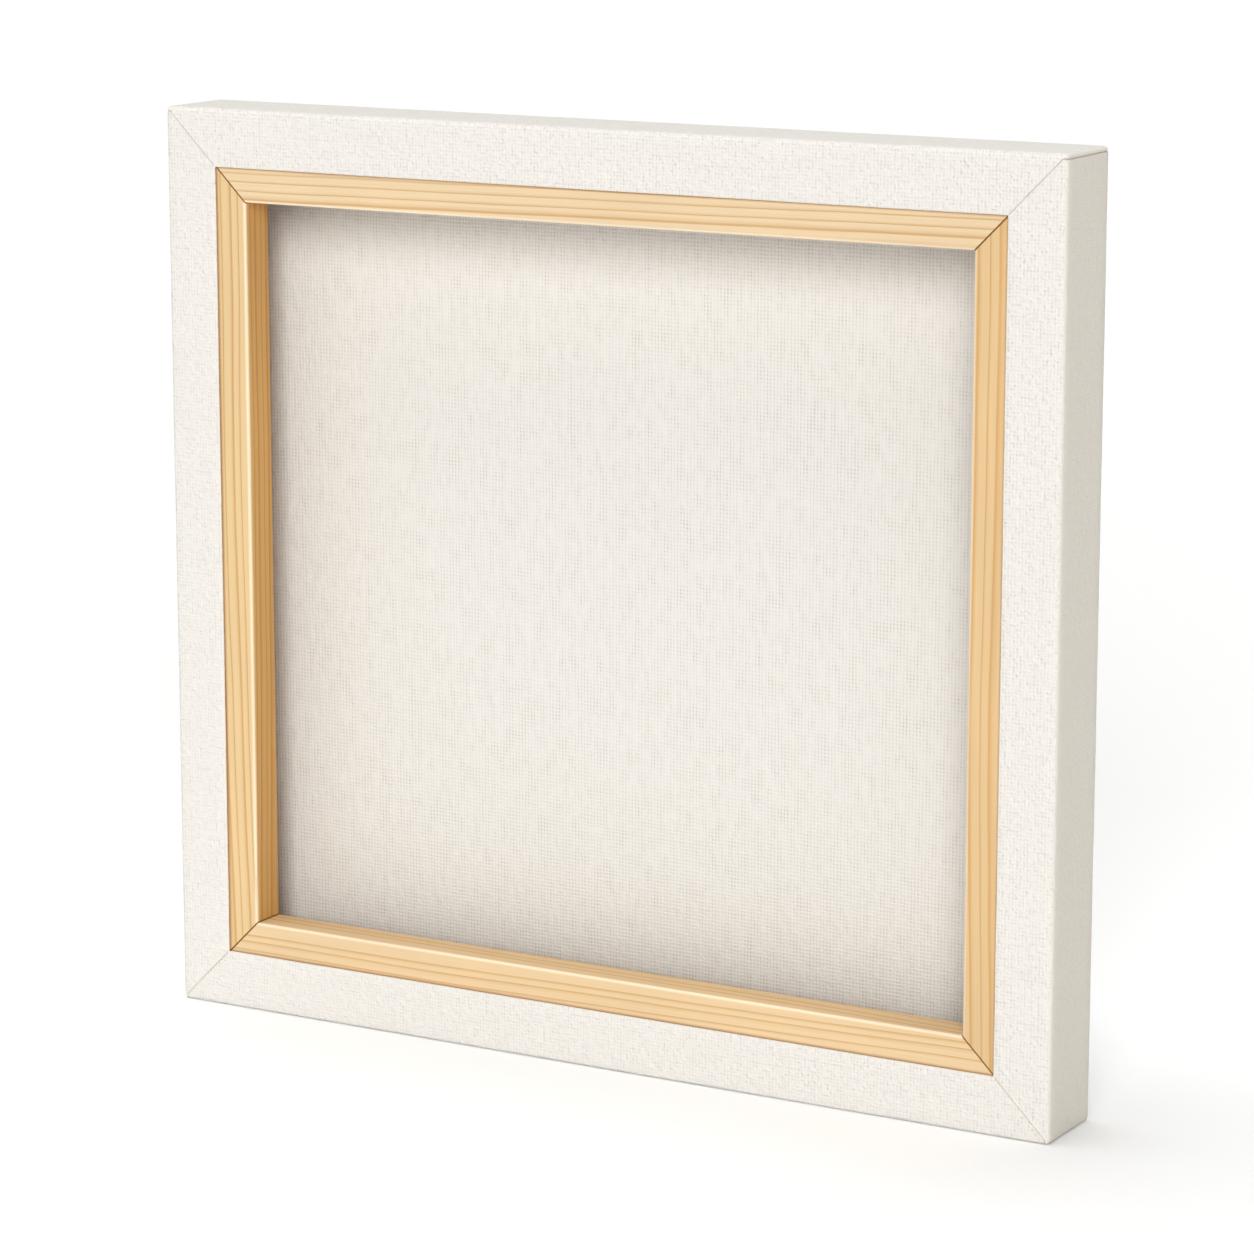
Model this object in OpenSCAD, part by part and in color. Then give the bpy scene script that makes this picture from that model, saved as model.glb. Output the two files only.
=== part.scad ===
// Stretched canvas, ready to paint: one sheet of primed cotton over four pine stretcher bars.
//
// The frame stands upright on its bottom edge. +X runs along the width, +Y points out of the
// painting face, +Z is up, and the origin is the middle of the bottom. The back looks along -Y.
// The bars are gallery bars: a flat flange at the back, and a coved lip along the outer edge,
// whose crown is the only wood that the sheet touches at the front. Their mitred ends
// interlock: each end has one tongue and one slot, side by side in two layers, and all four
// bars are cut alike, so each fits its neighbour by a quarter turn.

/* [Canvas] */
// Width over the cloth
canvas_w = 406; // [200:1:900]
// Height over the cloth
canvas_h = 381; // [200:1:900]
// Depth over the cloth
canvas_d = 38; // [36:1:45]
// Thickness of one layer of primed cotton
cloth_t = 0.6; // [0.4:0.1:0.9]
// Width of the turned hem on the back
hem_w = 24; // [23:1:30]
// Radius of the cloth where it turns from a side on to the back
back_edge_r = 2; // [1.5:0.1:3]
// Radius of the cloth where it turns from the face down a side
front_edge_r = 2.4; // [2:0.1:3.5]
// Radius of the cloth round the four corners of the frame
corner_r = 2; // [1.5:0.1:4]

/* [Bars] */
// Width of a bar's wood
bar_w = 37.4; // [34:0.2:50]
// Thickness of the flange beside the lip
flange_t = 18; // [16:0.5:19.5]
// Fall of the flange's front face towards its inner edge
flange_fall = 1.2; // [0:0.2:3]
// Width of the lip's crown, behind the cloth
crown_w = 5; // [5:0.5:8]
// Radius of the crown's inner edge
crown_r = 2; // [1:0.5:2]
// Radius of the cove between the lip and the flange
cove_r = 13; // [8:1:14]
// Radius of the flange's eased inner edges
ease_r = 1.1; // [0.5:0.1:2]

/* [Corner joint] */
// Thickness of the back cheek, behind both tongues
cheek_t = 5.6; // [5.2:0.2:7]
// Thickness of the layer that holds a tongue
layer_t = 3.4; // [2.6:0.1:4]
// Glue gap on each face of a tongue
glue_gap = 0.05; // [0.05:0.05:0.2]
// Bevel on the back edge of each mitre
mitre_bevel = 0.35; // [0.2:0.05:0.6]

/* [V-nails] */
// Height of a nail, driven flush into the back cheek
nail_h = 5; // [4:0.5:5]
// Thickness of a nail's steel strip
nail_t = 0.6; // [0.4:0.1:0.8]
// Length of each leg of the V
nail_leg = 5; // [4:0.5:6]
// Length of the turned flange at the end of each leg
nail_flange = 1.5; // [1:0.1:2]
// Distance of the outer nail's point from both outer faces
nail_out = 7; // [6:0.5:9]
// Distance of the inner nail's point from both outer faces
nail_in = 16; // [15:0.5:17]

/* [Hidden] */
$fn = 64;
over = 1; // run of a cutting shape past the face that it cuts

// The wood inside the cloth: one layer at the sides and the face, two under the back hem
hem_t = 2 * cloth_t;
wood_w = canvas_w - 2 * cloth_t;
wood_h = canvas_h - 2 * cloth_t;
wood_d = canvas_d - cloth_t - hem_t;
wood_back = -canvas_d / 2 + hem_t;
flange_edge_t = flange_t - flange_fall;

// The two layers of the corner joint, from their depths under the back of the wood
layer_a = cheek_t;
layer_b = cheek_t + layer_t;

// Places of the bars: [turn about Y, length, distance of the outer face from the centre]
BOTTOM = [0, wood_w, wood_h / 2];
RIGHT = [-90, wood_h, wood_w / 2];
TOP = [180, wood_w, wood_h / 2];
LEFT = [90, wood_h, wood_w / 2];

// An outline w wide and h high about the origin, with radius r_left at both corners on the
// left and r_right at both on the right
module outline(w, h, r_left, r_right) {
    polygon([
        [-w / 2, -h / 2 + r_left], [-w / 2 + r_left, -h / 2],
        [w / 2 - r_right, -h / 2], [w / 2, -h / 2 + r_right],
        [w / 2, h / 2 - r_right], [w / 2 - r_right, h / 2],
        [-w / 2 + r_left, h / 2], [-w / 2, h / 2 - r_left]
    ]);
    for (side = [-1, 1]) {
        translate([-w / 2 + r_left, side * (h / 2 - r_left)]) circle(r_left);
        translate([w / 2 - r_right, side * (h / 2 - r_right)]) circle(r_right);
    }
}

// A block w wide, d deep and h high about the origin, with every edge rounded: those at the
// back to r_back, those at the front to r_front, and the four through its depth to r_corner
module rounded_block(w, d, h, r_back, r_front, r_corner) {
    intersection() {
        rotate([90, 0, 0]) linear_extrude(d, center = true) outline(w, h, r_corner, r_corner);
        rotate([90, 0, 90]) linear_extrude(w, center = true) outline(d, h, r_back, r_front);
        rotate([0, 0, 90]) linear_extrude(h, center = true) outline(d, w, r_back, r_front);
    }
}

// The block whose outside the four bars make together, and the cloth is pulled over
module wood_block() {
    translate([0, wood_back + wood_d / 2, canvas_h / 2])
        rounded_block(
            wood_w, wood_d, wood_h,
            back_edge_r - cloth_t, front_edge_r - cloth_t, corner_r - cloth_t
        );
}

// One primed sheet over the face and the four sides, with its doubled hem turned on to the back
module canvas() {
    color("#f3efe7")
        difference() {
            translate([0, 0, canvas_h / 2])
                rounded_block(canvas_w, canvas_d, canvas_h, back_edge_r, front_edge_r, corner_r);
            wood_block();
            translate([0, -canvas_d / 2, canvas_h / 2])
                cube([canvas_w - 2 * hem_w, 2 * (hem_t + over), canvas_h - 2 * hem_w], center = true);
        }
}

// Section of a bar: X is the depth from its back face, and Y the distance from its outer face
module bar_section() {
    lip_root = crown_w + cove_r;
    // flange
    polygon([
        [0, 0], [flange_t, 0], [flange_t, lip_root],
        [flange_edge_t, bar_w - ease_r], [flange_edge_t - ease_r, bar_w],
        [ease_r, bar_w], [0, bar_w - ease_r]
    ]);
    for (x = [ease_r, flange_edge_t - ease_r])
        translate([x, bar_w - ease_r]) circle(ease_r);
    // lip
    square([wood_d - crown_r, crown_w]);
    square([wood_d, crown_w - crown_r]);
    translate([wood_d - crown_r, crown_w - crown_r]) circle(crown_r);
    // cove
    difference() {
        translate([flange_t, 0]) square([cove_r, lip_root]);
        translate([flange_t + cove_r, lip_root]) circle(cove_r);
    }
}

// Outline of a V-nail in plan, with its point at the origin and its legs along -X and +Y
module v_nail_outline() {
    for (turn = [0, 1]) mirror([turn, turn]) {
        translate([-nail_leg, -nail_t / 2]) square([nail_leg + nail_t / 2, nail_t]);
        translate([-nail_leg, -nail_flange]) square([nail_t, nail_flange]);
    }
}

// The two V-nails of a joint, from the corner where the outer faces of its two bars meet
module v_nails() {
    for (d = [nail_out, nail_in])
        translate([-d, nail_h, d])
            rotate([90, 0, 0]) linear_extrude(nail_h) v_nail_outline();
}

// A bar's end beyond its inner edge: the corner square that it shares with the next bar, as
// deep as one layer less a gap on each face
module corner_square(layer, gap) {
    translate([-bar_w, layer + gap, 0]) cube([bar_w, layer_t - 2 * gap, bar_w]);
}

// What is cut away at a bar's end: the slot in one layer, the bevel along the mitre's back
// edge and the two V-nails' places. X runs from the bar's end
module end_cuts(slot_layer) {
    translate([-bar_w, slot_layer, -over]) cube([bar_w + over, layer_t, bar_w + 2 * over]);
    rotate([0, -135, 0]) rotate([45, 0, 0])
        cube([3 * bar_w, sqrt(2) * mitre_bevel, sqrt(2) * mitre_bevel], center = true);
    v_nails();
}

// A bar lying along X with its outer face down: its right end has the tongue in layer a and
// the slot in layer b, and its left end has them the other way round
module loose_bar(length) {
    difference() {
        union() {
            intersection() {
                rotate([90, 0, 90]) linear_extrude(length, center = true) bar_section();
                translate([0, wood_d, 0]) rotate([90, 0, 0]) linear_extrude(wood_d)
                    polygon([
                        [-length / 2, 0], [length / 2, 0],
                        [length / 2 - bar_w, bar_w], [-length / 2 + bar_w, bar_w]
                    ]);
            }
            translate([length / 2, 0, 0]) corner_square(layer_a, glue_gap);
            translate([-length / 2, 0, 0]) mirror([1, 0, 0]) corner_square(layer_b, glue_gap);
        }
        translate([length / 2, 0, 0]) end_cuts(layer_b);
        translate([-length / 2, 0, 0]) mirror([1, 0, 0]) end_cuts(layer_a);
    }
}

// Takes a bar, or what is on it, from lying loose to its side of the frame
module place(side) {
    translate([0, wood_back, canvas_h / 2])
        rotate([0, side[0], 0]) translate([0, 0, -side[2]]) children();
}

module bar(side) {
    color("#e6c48f")
        intersection() {
            place(side) loose_bar(side[1]);
            wood_block();
        }
}

// The two V-nails across the joint at a bar's right end
module joint_nails(side) {
    color("#b9bcc0") place(side) translate([side[1] / 2, 0, 0]) v_nails();
}

canvas();
bar(BOTTOM);  // bar_bottom
bar(RIGHT);  // bar_right
bar(TOP);  // bar_top
bar(LEFT);  // bar_left
joint_nails(BOTTOM);  // v_nails_bottom_right
joint_nails(RIGHT);  // v_nails_top_right
joint_nails(TOP);  // v_nails_top_left
joint_nails(LEFT);  // v_nails_bottom_left
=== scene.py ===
"""The looks of a stretched canvas, seen from its open back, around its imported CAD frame.

The pieces come in the order in which a maker puts them together: the four pine bars, the
V-nails across their joints, and the sheet of primed cotton pulled over them. The floor, the
lamps and the camera come last. Lengths are in metres unless a name or comment says otherwise.
"""
import math

import bmesh
import bpy
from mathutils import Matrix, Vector


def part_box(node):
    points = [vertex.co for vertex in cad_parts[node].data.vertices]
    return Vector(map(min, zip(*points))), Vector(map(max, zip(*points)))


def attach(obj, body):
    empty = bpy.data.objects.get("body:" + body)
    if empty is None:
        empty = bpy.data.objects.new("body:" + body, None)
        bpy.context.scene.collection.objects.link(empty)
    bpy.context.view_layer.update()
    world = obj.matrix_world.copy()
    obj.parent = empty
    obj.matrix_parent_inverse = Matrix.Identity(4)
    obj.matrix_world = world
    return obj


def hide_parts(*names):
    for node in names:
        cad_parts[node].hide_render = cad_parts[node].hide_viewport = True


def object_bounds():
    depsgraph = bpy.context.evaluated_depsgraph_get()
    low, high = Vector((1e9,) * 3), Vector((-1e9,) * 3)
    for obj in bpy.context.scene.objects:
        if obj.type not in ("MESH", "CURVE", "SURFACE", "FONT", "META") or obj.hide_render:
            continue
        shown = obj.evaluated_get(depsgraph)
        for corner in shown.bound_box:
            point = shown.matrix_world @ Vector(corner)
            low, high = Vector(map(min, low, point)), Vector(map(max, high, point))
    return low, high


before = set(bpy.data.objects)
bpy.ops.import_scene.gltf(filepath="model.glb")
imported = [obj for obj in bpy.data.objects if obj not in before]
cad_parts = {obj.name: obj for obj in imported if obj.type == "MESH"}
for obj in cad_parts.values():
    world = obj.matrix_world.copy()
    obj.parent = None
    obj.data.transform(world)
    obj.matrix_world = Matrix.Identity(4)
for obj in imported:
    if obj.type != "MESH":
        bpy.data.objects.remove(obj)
cad_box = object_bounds()

# ---------------------------------------------------------------------------------------
# Stretcher bars: four lengths of planed, unfinished pine. Each is moulded to one section,
# with a flat flange at the back and a coved lip at the front, and its mitred ends interlock.
# The back of the flange and its inner edge show inside the hem; the cloth hides the rest.


def linear(hex_colour):
    """The linear colour, with full alpha, of an sRGB hex value such as "#f1d5a6"."""
    parts = [int(hex_colour[i:i + 2], 16) / 255 for i in (1, 3, 5)]
    parts = [c / 12.92 if c <= 0.04045 else ((c + 0.055) / 1.055) ** 2.4 for c in parts]
    return (*parts, 1.0)


def add_node(tree, kind, inputs=None, **settings):
    """Adds a node, sets its properties, and gives each named input a value or a link."""
    made = tree.nodes.new(kind)
    for name, value in settings.items():
        setattr(made, name, value)
    for name, value in (inputs or {}).items():
        if isinstance(value, bpy.types.NodeSocket):
            tree.links.new(value, made.inputs[name])
        else:
            made.inputs[name].default_value = value
    return made


def new_material(name):
    """An empty material, its node tree and its Principled shader."""
    material = bpy.data.materials.new(name)
    material.use_nodes = True
    tree = material.node_tree
    return material, tree, tree.nodes["Principled BSDF"]


def set_ramp(ramp, stops):
    """Puts the stops, pairs of place and colour, on a colour ramp."""
    while len(ramp.elements) > len(stops):
        ramp.elements.remove(ramp.elements[-1])
    while len(ramp.elements) < len(stops):
        ramp.elements.new(1.0)
    for element, (place, colour) in zip(ramp.elements, stops):
        element.position, element.color = place, colour


BAR_W = 0.0374
BARE_FROM = 0.0242  # the hem covers a bar's back up to here from the frame's outside
HIDDEN = 0.0006  # the cloth outside the wood
GRAIN_SLOPE = math.radians(0.45)  # how far the grain runs off the bar's line
RING_WANDER = 0.007  # span over which the rings wander sideways
FIBRES_PER_M = 2400  # one every 0.4 mm, because real ones are too fine to show
EDGE_TURN = (0.001, 0.0022)  # depths between which the back turns into the inner edge, where the painted shade on the inner face sets in
ARRIS_HIGHLIGHT = (0.0005, 0.0013)  # from the edge, where the painted highlight on the rounded inner edge begins to fade and ends
MITRE_LINE = (0.00032, 0.0006)  # along the bar, where half a mitre's line begins to fade and ends
HEM_SHADE_W = 0.0009  # width of the painted shade line along the hem's edge
wood_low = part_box("bar_bottom")[0]
frame_w, frame_h = cad_box[1].x * 2, cad_box[1].z


def planed_pine(name, turn, heart, ring_mm, seed, early, late, edge_shade_tint):
    """Pine, sawn and planed along the bar and left bare: pale early wood, narrow amber lines of
    late wood and fine fibres, dark in the mitres' joint lines, with a painted highlight on the
    rounded corner where the back meets the inner face, painted shade on the inner face, and painted
    shade as a brown line beside the hem. turn is the bar's turn about the frame's middle, heart is
    where the tree's middle lay (depth, across), in mm, ring_mm is a year's growth, early and late
    are the two woods' colours, and edge_shade_tint is the colour of the painted shade on the inner
    face."""
    material, tree, shader = new_material(name)
    sideways = abs(math.sin(turn)) > 0.5
    reach = (frame_w if sideways else frame_h) / 2
    half_length = (frame_h if sideways else frame_w) / 2
    # bar coordinates: along from its middle, depth from its back, and across from its outside
    place = add_node(tree, "ShaderNodeTexCoord").outputs["Object"]
    place = add_node(
        tree, "ShaderNodeVectorMath", {0: place, 1: (0, wood_low.y, frame_h / 2)},
        operation="SUBTRACT",
    ).outputs[0]
    place = add_node(
        tree, "ShaderNodeMapping",
        {"Vector": place, "Rotation": (0, turn, 0), "Location": (0, 0, reach)},
    ).outputs["Vector"]
    spot = add_node(tree, "ShaderNodeSeparateXYZ", {0: place}).outputs

    # the grain runs a little off the bar's line, and the rings wander over a hand's length
    along = add_node(
        tree, "ShaderNodeMapping",
        {"Vector": place, "Location": (seed, 0, 0), "Rotation": (0, GRAIN_SLOPE, 0)},
    ).outputs["Vector"]
    drift = add_node(
        tree, "ShaderNodeMapping", {"Vector": along, "Scale": (4, 14, 14)}
    ).outputs["Vector"]
    wander = add_node(
        tree, "ShaderNodeTexNoise", {"Vector": drift, "Scale": 1.0, "Detail": 3.0, "Roughness": 0.4}
    ).outputs["Color"]
    wander = add_node(
        tree, "ShaderNodeVectorMath", {0: wander, 1: (0.5, 0.5, 0.5)}, operation="SUBTRACT"
    ).outputs[0]
    grown = add_node(
        tree, "ShaderNodeVectorMath", {0: wander, 1: (0, RING_WANDER, RING_WANDER), 2: along},
        operation="MULTIPLY_ADD",
    ).outputs[0]
    from_heart = add_node(
        tree, "ShaderNodeMapping",
        {"Vector": grown, "Location": (0, -heart[0] / 1000, -heart[1] / 1000), "Scale": (0, 1, 1)},
    ).outputs["Vector"]
    radius = add_node(
        tree, "ShaderNodeVectorMath", {0: from_heart}, operation="LENGTH"
    ).outputs["Value"]

    # wide and narrow years, each with its line of late wood
    years = add_node(
        tree, "ShaderNodeMath", {0: radius, 1: 1000 / ring_mm}, operation="MULTIPLY"
    ).outputs[0]
    season = add_node(
        tree, "ShaderNodeTexNoise", {"W": years, "Scale": 0.6, "Detail": 1.0}, noise_dimensions="1D"
    ).outputs[0]
    years = add_node(
        tree, "ShaderNodeMath", {0: season, 1: 1.5, 2: years}, operation="MULTIPLY_ADD"
    ).outputs[0]
    ring = add_node(tree, "ShaderNodeMath", {0: years}, operation="FRACT").outputs[0]
    wood = add_node(tree, "ShaderNodeValToRGB", {"Fac": ring})
    pale, amber = linear(early), linear(late)
    between = tuple((2 * a + b) / 3 for a, b in zip(pale, amber))
    # from one year's end to the next: early wood darkens slowly, and late wood ends sharply
    year_stops = [(0.0, pale), (0.45, pale), (0.72, between), (0.86, amber), (0.93, amber)]
    set_ramp(wood.color_ramp, year_stops + [(1.0, pale)])
    # some years' lines are fainter than others
    year = add_node(tree, "ShaderNodeMath", {0: years}, operation="FLOOR").outputs[0]
    strong = add_node(
        tree, "ShaderNodeTexWhiteNoise", {"W": year}, noise_dimensions="1D"
    ).outputs[0]
    strong = add_node(
        tree, "ShaderNodeMapRange", {"Value": strong, "To Min": 0.55, "To Max": 1.0}
    ).outputs[0]
    colour = add_node(
        tree, "ShaderNodeMix", {0: strong, 6: pale, 7: wood.outputs[0]}, data_type="RGBA"
    ).outputs[2]

    # fibres along the bar
    strands = add_node(
        tree, "ShaderNodeMapping", {"Vector": along, "Scale": (16, FIBRES_PER_M, FIBRES_PER_M)}
    ).outputs["Vector"]
    fibre = add_node(
        tree, "ShaderNodeTexNoise", {"Vector": strands, "Scale": 1.0, "Detail": 2.0}
    ).outputs[0]
    shade = add_node(
        tree, "ShaderNodeMapRange",
        {"Value": fibre, "From Min": 0.3, "From Max": 0.7, "To Min": 0.95, "To Max": 1.03},
    ).outputs[0]
    # broad lighter and darker patches along the bar
    blotch = add_node(
        tree, "ShaderNodeTexNoise", {"Vector": drift, "Scale": 2.3, "Detail": 3.0}
    ).outputs[0]
    blotch = add_node(
        tree, "ShaderNodeMapRange",
        {"Value": blotch, "From Min": 0.3, "From Max": 0.7, "To Min": 0.95, "To Max": 1.04},
    ).outputs[0]
    shade = add_node(tree, "ShaderNodeMath", {0: shade, 1: blotch}, operation="MULTIPLY").outputs[0]

    # painted shade: the inner face is darkened by edge_shade_tint, most on the bars whose inner
    # face turns away from the lamps and hardly at all on the bottom bar
    edge = add_node(
        tree, "ShaderNodeMapRange",
        {"Value": spot[1], "From Min": EDGE_TURN[0], "From Max": EDGE_TURN[1]},
    ).outputs[0]
    colour = add_node(
        tree, "ShaderNodeMix", {0: edge, 6: colour, 7: linear(edge_shade_tint)},
        data_type="RGBA", blend_type="MULTIPLY",
    ).outputs[2]
    # painted highlight: the rounded corner along the inner edge is lightened all along, where the
    # light catches it
    inward = add_node(
        tree, "ShaderNodeMath", {0: BAR_W + HIDDEN, 1: spot[2]}, operation="SUBTRACT"
    ).outputs[0]
    off_arris_highlight = add_node(
        tree, "ShaderNodeMath", {0: inward, 1: spot[1]}, operation="MAXIMUM"
    ).outputs[0]
    arris_highlight = add_node(
        tree, "ShaderNodeMapRange",
        {
            "Value": off_arris_highlight, "From Min": ARRIS_HIGHLIGHT[0], "From Max": ARRIS_HIGHLIGHT[1],
            "To Min": 0.55, "To Max": 0.0,
        },
    ).outputs[0]
    colour = add_node(
        tree, "ShaderNodeMix", {0: arris_highlight, 6: colour, 7: linear("#fdf0d8")}, data_type="RGBA"
    ).outputs[2]
    # a brown joint line in the mitre at each end, and painted shade as a brown line along the hem's
    # edge
    end = add_node(tree, "ShaderNodeMath", {0: spot[0]}, operation="ABSOLUTE").outputs[0]
    end = add_node(
        tree, "ShaderNodeMath", {0: half_length, 1: end}, operation="SUBTRACT"
    ).outputs[0]
    off_mitre = add_node(
        tree, "ShaderNodeMath", {0: end, 1: spot[2]}, operation="SUBTRACT"
    ).outputs[0]
    off_mitre = add_node(tree, "ShaderNodeMath", {0: off_mitre}, operation="ABSOLUTE").outputs[0]
    mitre = add_node(
        tree, "ShaderNodeMapRange",
        {
            "Value": off_mitre, "From Min": MITRE_LINE[0], "From Max": MITRE_LINE[1],
            "To Min": 0.95, "To Max": 0.0,
        },
    ).outputs[0]
    off_hem = add_node(
        tree, "ShaderNodeMath", {0: spot[2], 1: BARE_FROM}, operation="SUBTRACT"
    ).outputs[0]
    hem_shade_line = add_node(
        tree, "ShaderNodeMapRange",
        {"Value": off_hem, "From Min": 0.0, "From Max": HEM_SHADE_W, "To Min": 0.6, "To Max": 0.0},
    ).outputs[0]
    for line, brown in ((hem_shade_line, "#96622e"), (mitre, "#855623")):
        colour = add_node(
            tree, "ShaderNodeMix", {0: line, 6: colour, 7: linear(brown)}, data_type="RGBA"
        ).outputs[2]
    colour = add_node(
        tree, "ShaderNodeVectorMath", {0: colour, "Scale": shade}, operation="SCALE"
    ).outputs[0]
    tree.links.new(colour, shader.inputs["Base Color"])

    bump = add_node(
        tree, "ShaderNodeBump", {"Height": fibre, "Strength": 0.5, "Distance": 0.00006}
    )
    tree.links.new(bump.outputs["Normal"], shader.inputs["Normal"])
    shader.inputs["Roughness"].default_value = 0.55
    shader.inputs["Specular IOR Level"].default_value = 0.2
    return material


# each bar is sawn from a board of its own, with its own heart, growth and colours; the last colour
# is the painted shade on its inner face, near none on the bottom bar, whose inner face looks up
# into the light
for side, *board in (
    ("bottom", 0, (55, -30), 3.7, 1.7, "#ddc198", "#c39555", "#fffaf2"),
    ("right", math.pi / 2, (70, -40), 3.3, 5.2, "#d6b789", "#c8985a", "#f4e0bd"),
    ("top", math.pi, (60, -50), 2.9, 0.3, "#dec5a0", "#c4985f", "#f4e0bd"),
    ("left", -math.pi / 2, (65, -25), 2.8, 3.1, "#dabd8e", "#c39254", "#f0d9b2"),
):
    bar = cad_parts[f"bar_{side}"]
    bar.data.materials.clear()
    bar.data.materials.append(planed_pine(f"pine_{side}", *board))

# ---------------------------------------------------------------------------------------
# V-nails: two bent strips of bright spring steel across each mitre, driven flush into the
# back of the bars. The hem covers them.


def rolled_steel():
    """Cold-rolled strip steel: bright grey, with fine scratches along the rolling."""
    material, tree, shader = new_material("rolled_strip_steel")
    place = add_node(tree, "ShaderNodeTexCoord").outputs["Object"]
    drawn = add_node(
        tree, "ShaderNodeMapping", {"Vector": place, "Scale": (400, 6000, 400)}
    ).outputs["Vector"]
    scratches = add_node(tree, "ShaderNodeTexNoise", {"Vector": drawn, "Scale": 1.0}).outputs[0]
    roughness = add_node(
        tree, "ShaderNodeMapRange", {"Value": scratches, "To Min": 0.25, "To Max": 0.45}
    ).outputs[0]
    tree.links.new(roughness, shader.inputs["Roughness"])
    shader.inputs["Base Color"].default_value = linear("#c3c5c7")
    shader.inputs["Metallic"].default_value = 1.0
    return material


steel = rolled_steel()
for corner in ("bottom_right", "top_right", "top_left", "bottom_left"):
    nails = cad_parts[f"v_nails_{corner}"]
    nails.data.materials.clear()
    nails.data.materials.append(steel)

# ---------------------------------------------------------------------------------------
# The canvas: one cut of plain-weave cotton duck, primed white, pulled over the bars. Its
# margins turn round the sides on to the back, where the raw edge is folded under and the
# corners are mitred. At the top corners the top margin laps over the side margins.

CLOTH = 0.00058  # one layer of primed cotton, a hair less than its place in the frame
CLOTH_R = 0.002  # how tightly it turns round the bars' edges
HEM_W = 0.024
FOLD_R = 0.0006  # half of the doubled hem
UNDER_W = 0.019  # width of the edge that is folded under
SEAM_W = 0.0008  # width of the clefts along the mitred folds and the lap
SEAM_DEEP = 0.00042

canvas_low, canvas_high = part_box("canvas")
canvas_w, canvas_d, canvas_h = canvas_high - canvas_low
half_w, half_d = canvas_w / 2, canvas_d / 2
middle = Vector((0, 0, canvas_h / 2))


def select_where(kind, wanted):
    """Selects, in edit mode, the edges or faces for which wanted is true, and nothing else."""
    bpy.ops.mesh.select_all(action="DESELECT")
    bpy.ops.mesh.select_mode(type={"edges": "EDGE", "faces": "FACE"}[kind])
    mesh = bmesh.from_edit_mesh(bpy.context.edit_object.data)
    for part in getattr(mesh, kind):
        if wanted(part):
            part.select_set(True)
    bmesh.update_edit_mesh(bpy.context.edit_object.data)


def inset_of(point):
    """How far a point lies inside the nearest of the four sides."""
    return min(half_w - abs(point.x), point.z, canvas_h - point.z)


def ends(edge):
    """The two points that an edge joins."""
    return edge.verts[0].co, edge.verts[1].co


def grow(distance):
    """Scales the selection about the frame's middle so that it moves outwards by distance."""
    mesh = bmesh.from_edit_mesh(bpy.context.edit_object.data)
    across = max(v.co.x for v in mesh.verts if v.select)
    up = max(v.co.z for v in mesh.verts if v.select) - middle.z
    bpy.ops.transform.resize(
        value=((across + distance) / across, 1, (up + distance) / up),
        center_override=middle,
    )


bpy.ops.object.select_all(action="DESELECT")
bpy.ops.mesh.primitive_cube_add(size=1, location=middle, scale=(canvas_w, canvas_d, canvas_h))
canvas = bpy.context.object
canvas.name = canvas.data.name = "canvas_sheet"
bpy.ops.object.transform_apply(location=True, rotation=True, scale=True)
bpy.ops.object.mode_set(mode="EDIT")
bpy.ops.mesh.select_all(action="SELECT")
bpy.ops.mesh.bevel(offset=CLOTH_R, segments=4, affect="EDGES")

# the opening at the back, and the fold round its edge
select_where("faces", lambda f: f.normal.y < -0.99 and f.calc_area() > canvas_w * canvas_h / 2)
bpy.ops.mesh.inset(thickness=HEM_W - CLOTH_R - FOLD_R, use_even_offset=True)
bpy.ops.mesh.delete(type="FACE")
select_where("edges", lambda e: e.is_boundary)
FOLD_STEPS = 5
for step in range(FOLD_STEPS):
    here, there = (math.pi * (step + k) / FOLD_STEPS for k in (0, 1))
    deeper = FOLD_R * (math.cos(here) - math.cos(there))
    bpy.ops.mesh.extrude_region_move(TRANSFORM_OT_translate={"value": (0, deeper, 0)})
    grow(FOLD_R * (math.sin(here) - math.sin(there)))
bpy.ops.mesh.extrude_region_move(TRANSFORM_OT_translate={"value": (0, 0, 0)})
grow(UNDER_W)

# a grid of 5 mm over the wide parts, so that the sheet can ripple
GRID = 0.005
for axis, size in ((0, canvas_w), (2, canvas_h), (1, canvas_d)):
    select_where("edges", lambda e: abs(ends(e)[0][axis] - ends(e)[1][axis]) > size / 2)
    bpy.ops.mesh.subdivide(number_cuts=round(size / GRID))
select_where("edges", lambda e: abs(inset_of(ends(e)[0]) - inset_of(ends(e)[1])) > HEM_W / 2)
bpy.ops.mesh.subdivide(number_cuts=round(HEM_W / GRID))
bpy.ops.object.mode_set(mode="OBJECT")

# where each point lay in the flat cut, in metres: the weave follows the cloth round its edges
flat_cut = canvas.data.uv_layers.new(name="flat_cut")


def place_in_cut(point, side):
    """The flat place of a point on the face or on one of the margins."""
    x, z = point.x, point.z - middle.z
    if side == "face":
        return x, z
    edge, along = (half_w, x) if side == "across" else (canvas_h / 2, z)
    run = edge + (edge - abs(along)) if point.y < 0 else abs(along)
    run = math.copysign(run + half_d - point.y, along)
    return (run, z) if side == "across" else (x, run)


for face in canvas.data.polygons:
    spot = face.center
    if spot.y > half_d - FOLD_R:
        side = "face"
    elif half_w - abs(spot.x) < min(spot.z, canvas_h - spot.z):
        side = "across"
    else:
        side = "up"
    for corner in face.loop_indices:
        point = canvas.data.vertices[canvas.data.loops[corner].vertex_index].co
        flat_cut.data[corner].uv = place_in_cut(point, side)

# the slots for the sheet's outside, its reverse, the clefts in its folds, which carry painted
# shade, and its upright sides, which carry painted shade too; they are here before the sheet gets
# its thickness, which puts the inner layer on the second
OUTSIDE, REVERSE, SHADED_CLEFT, SHADED_UPRIGHT_SIDE = range(4)
for _ in (OUTSIDE, REVERSE, SHADED_CLEFT, SHADED_UPRIGHT_SIDE):
    canvas.data.materials.append(None)

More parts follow.
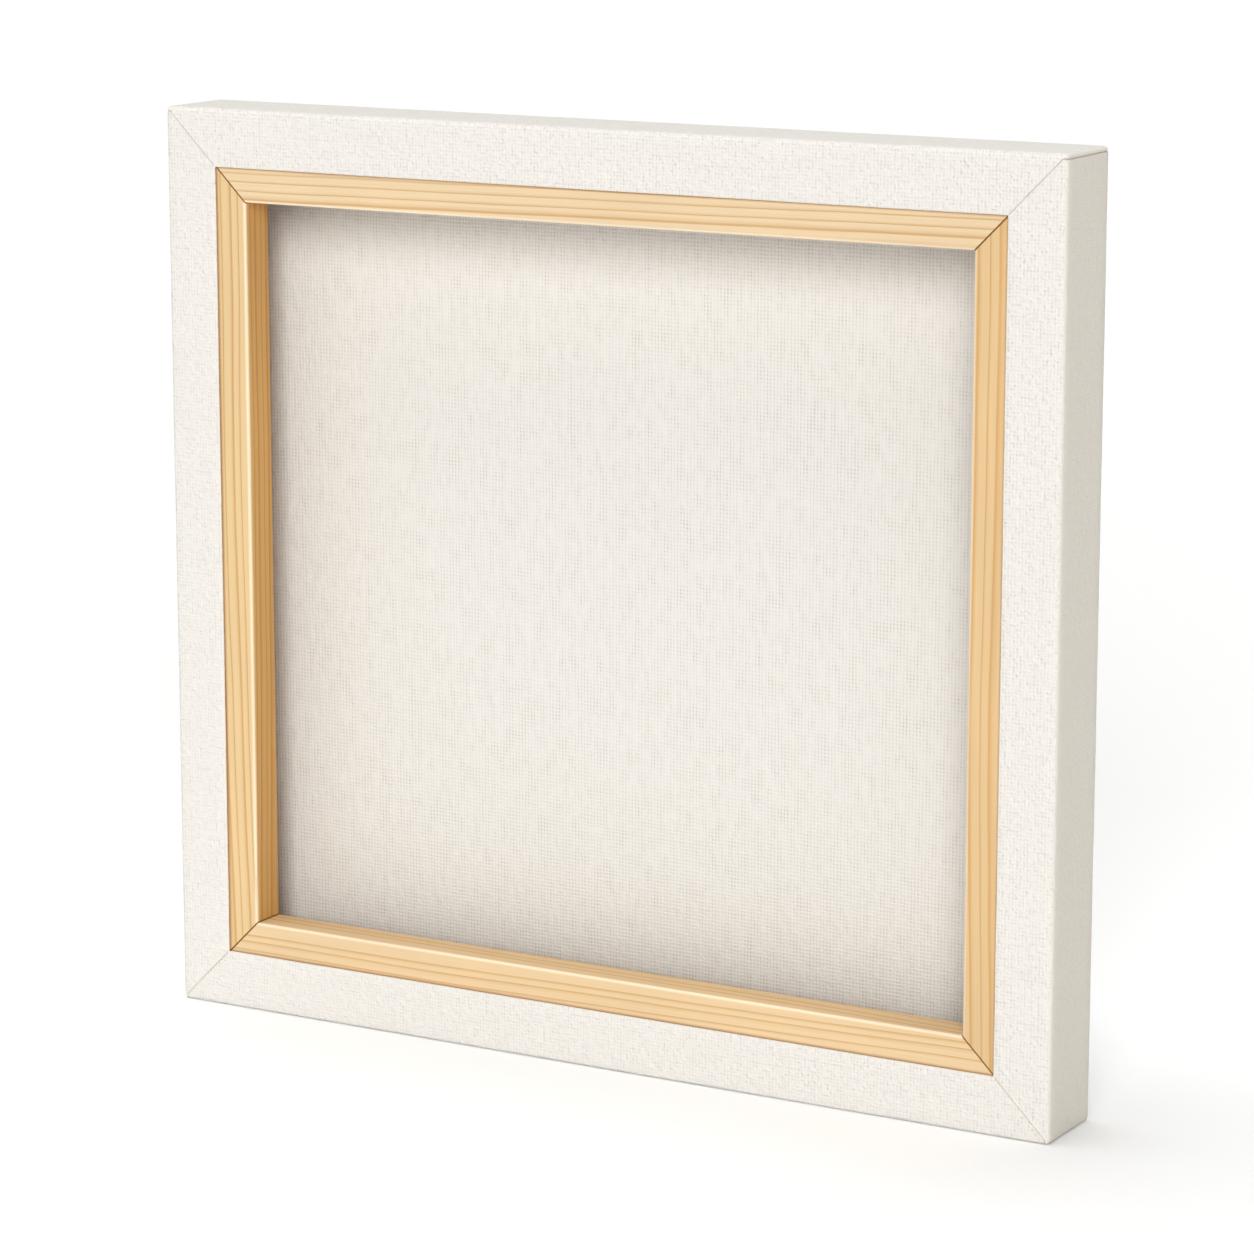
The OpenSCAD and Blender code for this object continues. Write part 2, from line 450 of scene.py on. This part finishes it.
# slack and tight places in the cloth, a tenth of a millimetre deep
ripple = bpy.data.textures.new("slack_in_the_cloth", "CLOUDS")
ripple.noise_scale = 0.035
slack = canvas.modifiers.new("slack", "DISPLACE")
slack.texture, slack.strength, slack.mid_level = ripple, 0.00025, 0.5
slack.texture_coords = "LOCAL"
layer = canvas.modifiers.new("layer", "SOLIDIFY")
layer.thickness, layer.offset, layer.material_offset = CLOTH, -1.0, REVERSE
for modifier in ("slack", "layer"):
    bpy.ops.object.modifier_apply(modifier=modifier)

# the mitred folds on the back, and the edge of the top margin's lap, are narrow clefts
SEAM_TOL = 0.0003  # how near to its line a point of a seam lies


def on_mitre(p):
    """Whether a point of the back lies on the fold that runs into the nearest corner."""
    across, up = half_w - abs(p.x), min(p.z, canvas_h - p.z)
    return p.y < -half_d + SEAM_TOL and abs(across - up) < SEAM_TOL


def on_lap(p):
    """Whether a point lies on the edge of a lap: on a side, just under the top, or on the
    underside, just in from a side."""
    past_flat = abs(p.x) - (half_w - CLOTH_R)
    if p.z > middle.z:
        return past_flat > -SEAM_TOL and abs(p.z - canvas_h + CLOTH_R) < SEAM_TOL
    return abs(past_flat) < SEAM_TOL and p.z < CLOTH_R + SEAM_TOL


bpy.ops.object.mode_set(mode="EDIT")


def on_seam(edge):
    """Whether an edge of the outer layer lies along a seam."""
    a, b = ends(edge)
    outward = sum((f.normal for f in edge.link_faces), Vector())
    outer = outward.dot((a + b) / 2 - middle) > 0
    return outer and ((on_mitre(a) and on_mitre(b)) or (on_lap(a) and on_lap(b)))


select_where("edges", on_seam)
bpy.ops.mesh.bevel(offset=SEAM_W / 2, segments=1, affect="EDGES")
bpy.ops.mesh.inset(thickness=SEAM_W * 0.3, depth=-SEAM_DEEP, use_even_offset=True)
sheet = bmesh.from_edit_mesh(canvas.data)
for face in sheet.faces:
    on_side = abs(face.calc_center_median().x) > half_w - CLOTH_R / 2
    if face.select:
        face.material_index = SHADED_CLEFT
    elif face.material_index == OUTSIDE and on_side and abs(face.normal.x) > 0.7:
        face.material_index = SHADED_UPRIGHT_SIDE
bmesh.update_edit_mesh(canvas.data)
bpy.ops.object.mode_set(mode="OBJECT")
bpy.ops.object.shade_smooth_by_angle(angle=math.radians(40))


PULLS_PER_M = 160.0  # the threads run off the straight over about 6 mm
SLUB = 0.8  # how much of a thread's height comes and goes with its slubs
OVER_UNDER = 0.2  # how much a thread rises and falls over and under the others
SLUB_RUN = 0.12  # slubs change along a thread over about 8 of the threads that it crosses


def primed_duck(name, pitch_mm, thread, gap, relief, filled, pull_mm, streak_mm):
    """Cotton duck under acrylic primer: matt white over a plain weave of uneven threads, drawn
    every pitch_mm. thread and gap are the colours on the threads and between them, the darker
    colour between them being painted shade in the weave's hollows; relief is the height in mm of
    threads and primer, filled is how far the primer hides the weave in places, from 0 to 1, pull_mm
    is how far the threads wander, and streak_mm is the size of the filled places across and along
    the warp."""
    material, tree, shader = new_material(name)
    flat = add_node(tree, "ShaderNodeUVMap", uv_map="flat_cut").outputs[0]
    # hand-stretched cloth: the threads run a little off the straight
    pull = add_node(
        tree, "ShaderNodeTexNoise",
        {"Vector": flat, "Scale": PULLS_PER_M, "Detail": 4.0, "Roughness": 0.7},
    ).outputs["Color"]
    pull = add_node(
        tree, "ShaderNodeVectorMath", {0: pull, 1: (0.5, 0.5, 0.5)}, operation="SUBTRACT"
    ).outputs[0]
    threads = add_node(
        tree, "ShaderNodeVectorMath", {0: flat, "Scale": 1000 / pitch_mm}, operation="SCALE"
    ).outputs[0]
    wander = 2 * pull_mm / pitch_mm
    threads = add_node(
        tree, "ShaderNodeVectorMath", {0: pull, 1: (wander, wander, 0), 2: threads},
        operation="MULTIPLY_ADD",
    ).outputs[0]
    split = add_node(tree, "ShaderNodeSeparateXYZ", {0: threads})
    heights, gaps = [], []
    for own, other, above in ((0, 1, 1), (1, 0, -1)):
        count, run = split.outputs[own], split.outputs[other]
        # a thread's section: 1 along its middle and 0 at the gaps beside it
        across = add_node(tree, "ShaderNodeMath", {0: count}, operation="FRACT").outputs[0]
        across = add_node(
            tree, "ShaderNodeMath", {0: across, 1: 2.0, 2: -1.0}, operation="MULTIPLY_ADD"
        ).outputs[0]
        across = add_node(
            tree, "ShaderNodeMath", {0: across, 1: across}, operation="MULTIPLY"
        ).outputs[0]
        body = add_node(
            tree, "ShaderNodeMath", {0: 1.0, 1: across}, operation="SUBTRACT"
        ).outputs[0]
        # over one thread and under the next
        order = add_node(tree, "ShaderNodeMath", {0: count}, operation="FLOOR").outputs[0]
        turn = add_node(tree, "ShaderNodeMath", {0: order, 1: run}, operation="ADD").outputs[0]
        turn = add_node(
            tree, "ShaderNodeMath", {0: turn, 1: math.pi}, operation="MULTIPLY"
        ).outputs[0]
        wave = add_node(tree, "ShaderNodeMath", {0: turn}, operation="SINE").outputs[0]
        wave = add_node(
            tree, "ShaderNodeMath", {0: wave, 1: OVER_UNDER * above, 2: 0.1},
            operation="MULTIPLY_ADD",
        ).outputs[0]
        # slubs: each thread is thicker and thinner along its run, unlike its neighbours
        own_place = add_node(
            tree, "ShaderNodeMath", {0: order, 1: 5.3}, operation="MULTIPLY"
        ).outputs[0]
        run_place = add_node(
            tree, "ShaderNodeMath", {0: run, 1: SLUB_RUN}, operation="MULTIPLY"
        ).outputs[0]
        slub = add_node(tree, "ShaderNodeCombineXYZ", {0: own_place, 1: run_place, 2: 7.0 * own})
        slub = add_node(
            tree, "ShaderNodeTexNoise",
            {"Vector": slub.outputs[0], "Scale": 1.0, "Detail": 3.0, "Roughness": 0.7},
        ).outputs[0]
        wave = add_node(
            tree, "ShaderNodeMath", {0: slub, 1: SLUB, 2: wave}, operation="MULTIPLY_ADD"
        ).outputs[0]
        heights.append(
            add_node(tree, "ShaderNodeMath", {0: body, 1: wave}, operation="MULTIPLY").outputs[0]
        )
        # between two threads the gap opens and closes with their slubs
        open_gap = add_node(
            tree, "ShaderNodeMapRange",
            {"Value": slub, "From Min": 0.66, "From Max": 0.4, "To Min": 0.25, "To Max": 1.0},
        ).outputs[0]
        gap_here = add_node(
            tree, "ShaderNodeMath", {0: across, 1: open_gap}, operation="MULTIPLY"
        ).outputs[0]
        gaps.append(gap_here)
    height = add_node(
        tree, "ShaderNodeMath", {0: heights[0], 1: heights[1]}, operation="MAXIMUM"
    ).outputs[0]
    # primer lies thicker in some places than in others, hides the weave and dries crinkled
    places = add_node(
        tree, "ShaderNodeMapping",
        {"Vector": flat, "Scale": (1000 / streak_mm[0], 1000 / streak_mm[1], 1)},
    ).outputs["Vector"]
    patch = add_node(
        tree, "ShaderNodeTexNoise",
        {"Vector": places, "Scale": 1.0, "Detail": 1.0, "Roughness": 0.5},
    ).outputs[0]
    bare = add_node(
        tree, "ShaderNodeMapRange",
        {"Value": patch, "From Min": 0.35, "From Max": 0.65, "To Min": 1.0, "To Max": 1.0 - filled},
    ).outputs[0]
    crinkle = add_node(
        tree, "ShaderNodeTexNoise",
        {
            "Vector": flat, "Scale": 900 / pitch_mm, "Detail": 2.0, "Roughness": 0.6,
            "Distortion": 0.3,
        },
    ).outputs[0]
    covered = add_node(tree, "ShaderNodeMath", {0: 1.0, 1: bare}, operation="SUBTRACT").outputs[0]
    crinkle = add_node(
        tree, "ShaderNodeMath", {0: crinkle, 1: 2.0}, operation="MULTIPLY"
    ).outputs[0]
    covered = add_node(
        tree, "ShaderNodeMath", {0: covered, 1: crinkle}, operation="MULTIPLY"
    ).outputs[0]
    height = add_node(
        tree, "ShaderNodeMath", {0: height, 1: bare, 2: covered}, operation="MULTIPLY_ADD"
    ).outputs[0]
    # painted shade: the gaps show as fine darker lines, and as darker holes where two of them
    # cross, for the shade in the weave's hollows
    hole_shade = add_node(
        tree, "ShaderNodeMath", {0: gaps[0], 1: gaps[1]}, operation="MULTIPLY"
    ).outputs[0]
    hole_shade = add_node(
        tree, "ShaderNodeMapRange", {"Value": hole_shade, "From Min": 0.05, "From Max": 0.5}
    ).outputs[0]
    hole_shade = add_node(
        tree, "ShaderNodeMath", {0: gaps[0], 1: 0.35, 2: hole_shade}, operation="MULTIPLY_ADD"
    ).outputs[0]
    hole_shade = add_node(tree, "ShaderNodeMath", {0: hole_shade, 1: bare}, operation="MULTIPLY").outputs[0]
    colour = add_node(
        tree, "ShaderNodeMix", {0: hole_shade, 6: linear(thread), 7: linear(gap)}, data_type="RGBA"
    ).outputs[2]
    tree.links.new(colour, shader.inputs["Base Color"])
    bump = add_node(
        tree, "ShaderNodeBump", {"Height": height, "Strength": 1.0, "Distance": relief / 1000}
    )
    tree.links.new(bump.outputs["Normal"], shader.inputs["Normal"])
    shader.inputs["Roughness"].default_value = 0.85
    shader.inputs["Specular IOR Level"].default_value = 0.3
    return material


canvas.data.materials[OUTSIDE] = primed_duck(
    "primed_duck", 1.45, "#e2ded8", "#d2cdc5", 0.56, 0.75, 0.3, (2.5, 2.5)
)
canvas.data.materials[REVERSE] = primed_duck(
    "primed_duck_reverse", 1.5, "#e0ddd7", "#bbb5ab", 0.34, 0.5, 0.28, (3, 9)
)
# the clefts are darker cotton, partly raw cotton that the primer missed and partly painted shade
# deep in the narrow cleft
canvas.data.materials[SHADED_CLEFT] = primed_duck(
    "raw_duck_painted_shade_in_the_folds", 1.45, "#c0b6a7", "#a99e8d", 0.3, 0.2, 0.4, (3, 3)
)
# on the upright sides the primer is smooth and nearly hides the weave, and its darker, warmer
# colour is painted shade, for sides that stand away from the main lamps
canvas.data.materials[SHADED_UPRIGHT_SIDE] = primed_duck(
    "primed_duck_painted_shade_on_the_sides", 1.45, "#ddd7cc", "#d6d0c5", 0.2, 0.9, 0.3, (3, 3)
)
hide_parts("canvas")
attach(canvas, "root")

# ---------------------------------------------------------------------------------------
# The studio: a plain white floor, soft lamps, and the camera.

bpy.ops.object.select_all(action="DESELECT")
bpy.ops.mesh.primitive_plane_add(size=30, location=(0, 0, 0))
floor = bpy.context.object
floor.name = "studio_floor"
material, tree, shader = new_material("white_sweep")
shader.inputs["Base Color"].default_value = linear("#f7f7f6")
shader.inputs["Roughness"].default_value = 1.0
floor.data.materials.append(material)


def add_lamp(name, azimuth, elevation, spread, strength):
    """A soft lamp too far off to fade: spread is how wide it looks from here, in degrees, and
    a white matt sheet that faces it comes out with a brightness of strength."""
    lamp = bpy.data.lights.new(name, "SUN")
    lamp.angle, lamp.energy = math.radians(spread), strength * math.pi
    holder = bpy.data.objects.new(name, lamp)
    turn, rise = math.radians(azimuth), math.radians(elevation)
    level = math.cos(rise)
    towards = Vector((level * math.cos(turn), level * math.sin(turn), math.sin(rise)))
    holder.rotation_euler = towards.to_track_quat("Z", "Y").to_euler()
    bpy.context.collection.objects.link(holder)


# a wide ceiling bank, one in front of the open back, and a weaker one behind the sheet
add_lamp("ceiling_bank", 184, 80, 44, 0.75)
add_lamp("front_bank", 295, 23, 30, 0.7)
add_lamp("rear_bank", 105, 30, 60, 0.14)

# white studio walls as high as the eye sees, and a dark ceiling round the lamps
WALL_TOP, WALL_FADE = math.sin(math.radians(6)), math.sin(math.radians(12))
world = bpy.data.worlds.new("studio")
world.use_nodes = True
studio = world.node_tree
view = add_node(studio, "ShaderNodeTexCoord").outputs["Generated"]
height = add_node(studio, "ShaderNodeSeparateXYZ", {0: view}).outputs[2]
wall = add_node(
    studio, "ShaderNodeMapRange",
    {"Value": height, "From Min": WALL_TOP, "From Max": WALL_FADE, "To Min": 1.0, "To Max": 0.0},
).outputs[0]
studio.links.new(wall, studio.nodes["Background"].inputs["Color"])
bpy.context.scene.world = world
bpy.context.scene.view_settings.view_transform = "Standard"

CAMERA_PLACE = (0.8859, -1.5298, 0.5427)
CAMERA_YAW, CAMERA_PITCH = math.radians(29.93), math.radians(11.61)
lens = bpy.data.cameras.new("camera")
lens.lens, lens.sensor_width = 128.9, 36.0
camera = bpy.data.objects.new("camera", lens)
camera.location = CAMERA_PLACE
camera.rotation_euler = (math.pi / 2 - CAMERA_PITCH, 0, CAMERA_YAW)
bpy.context.collection.objects.link(camera)
bpy.context.scene.camera = camera
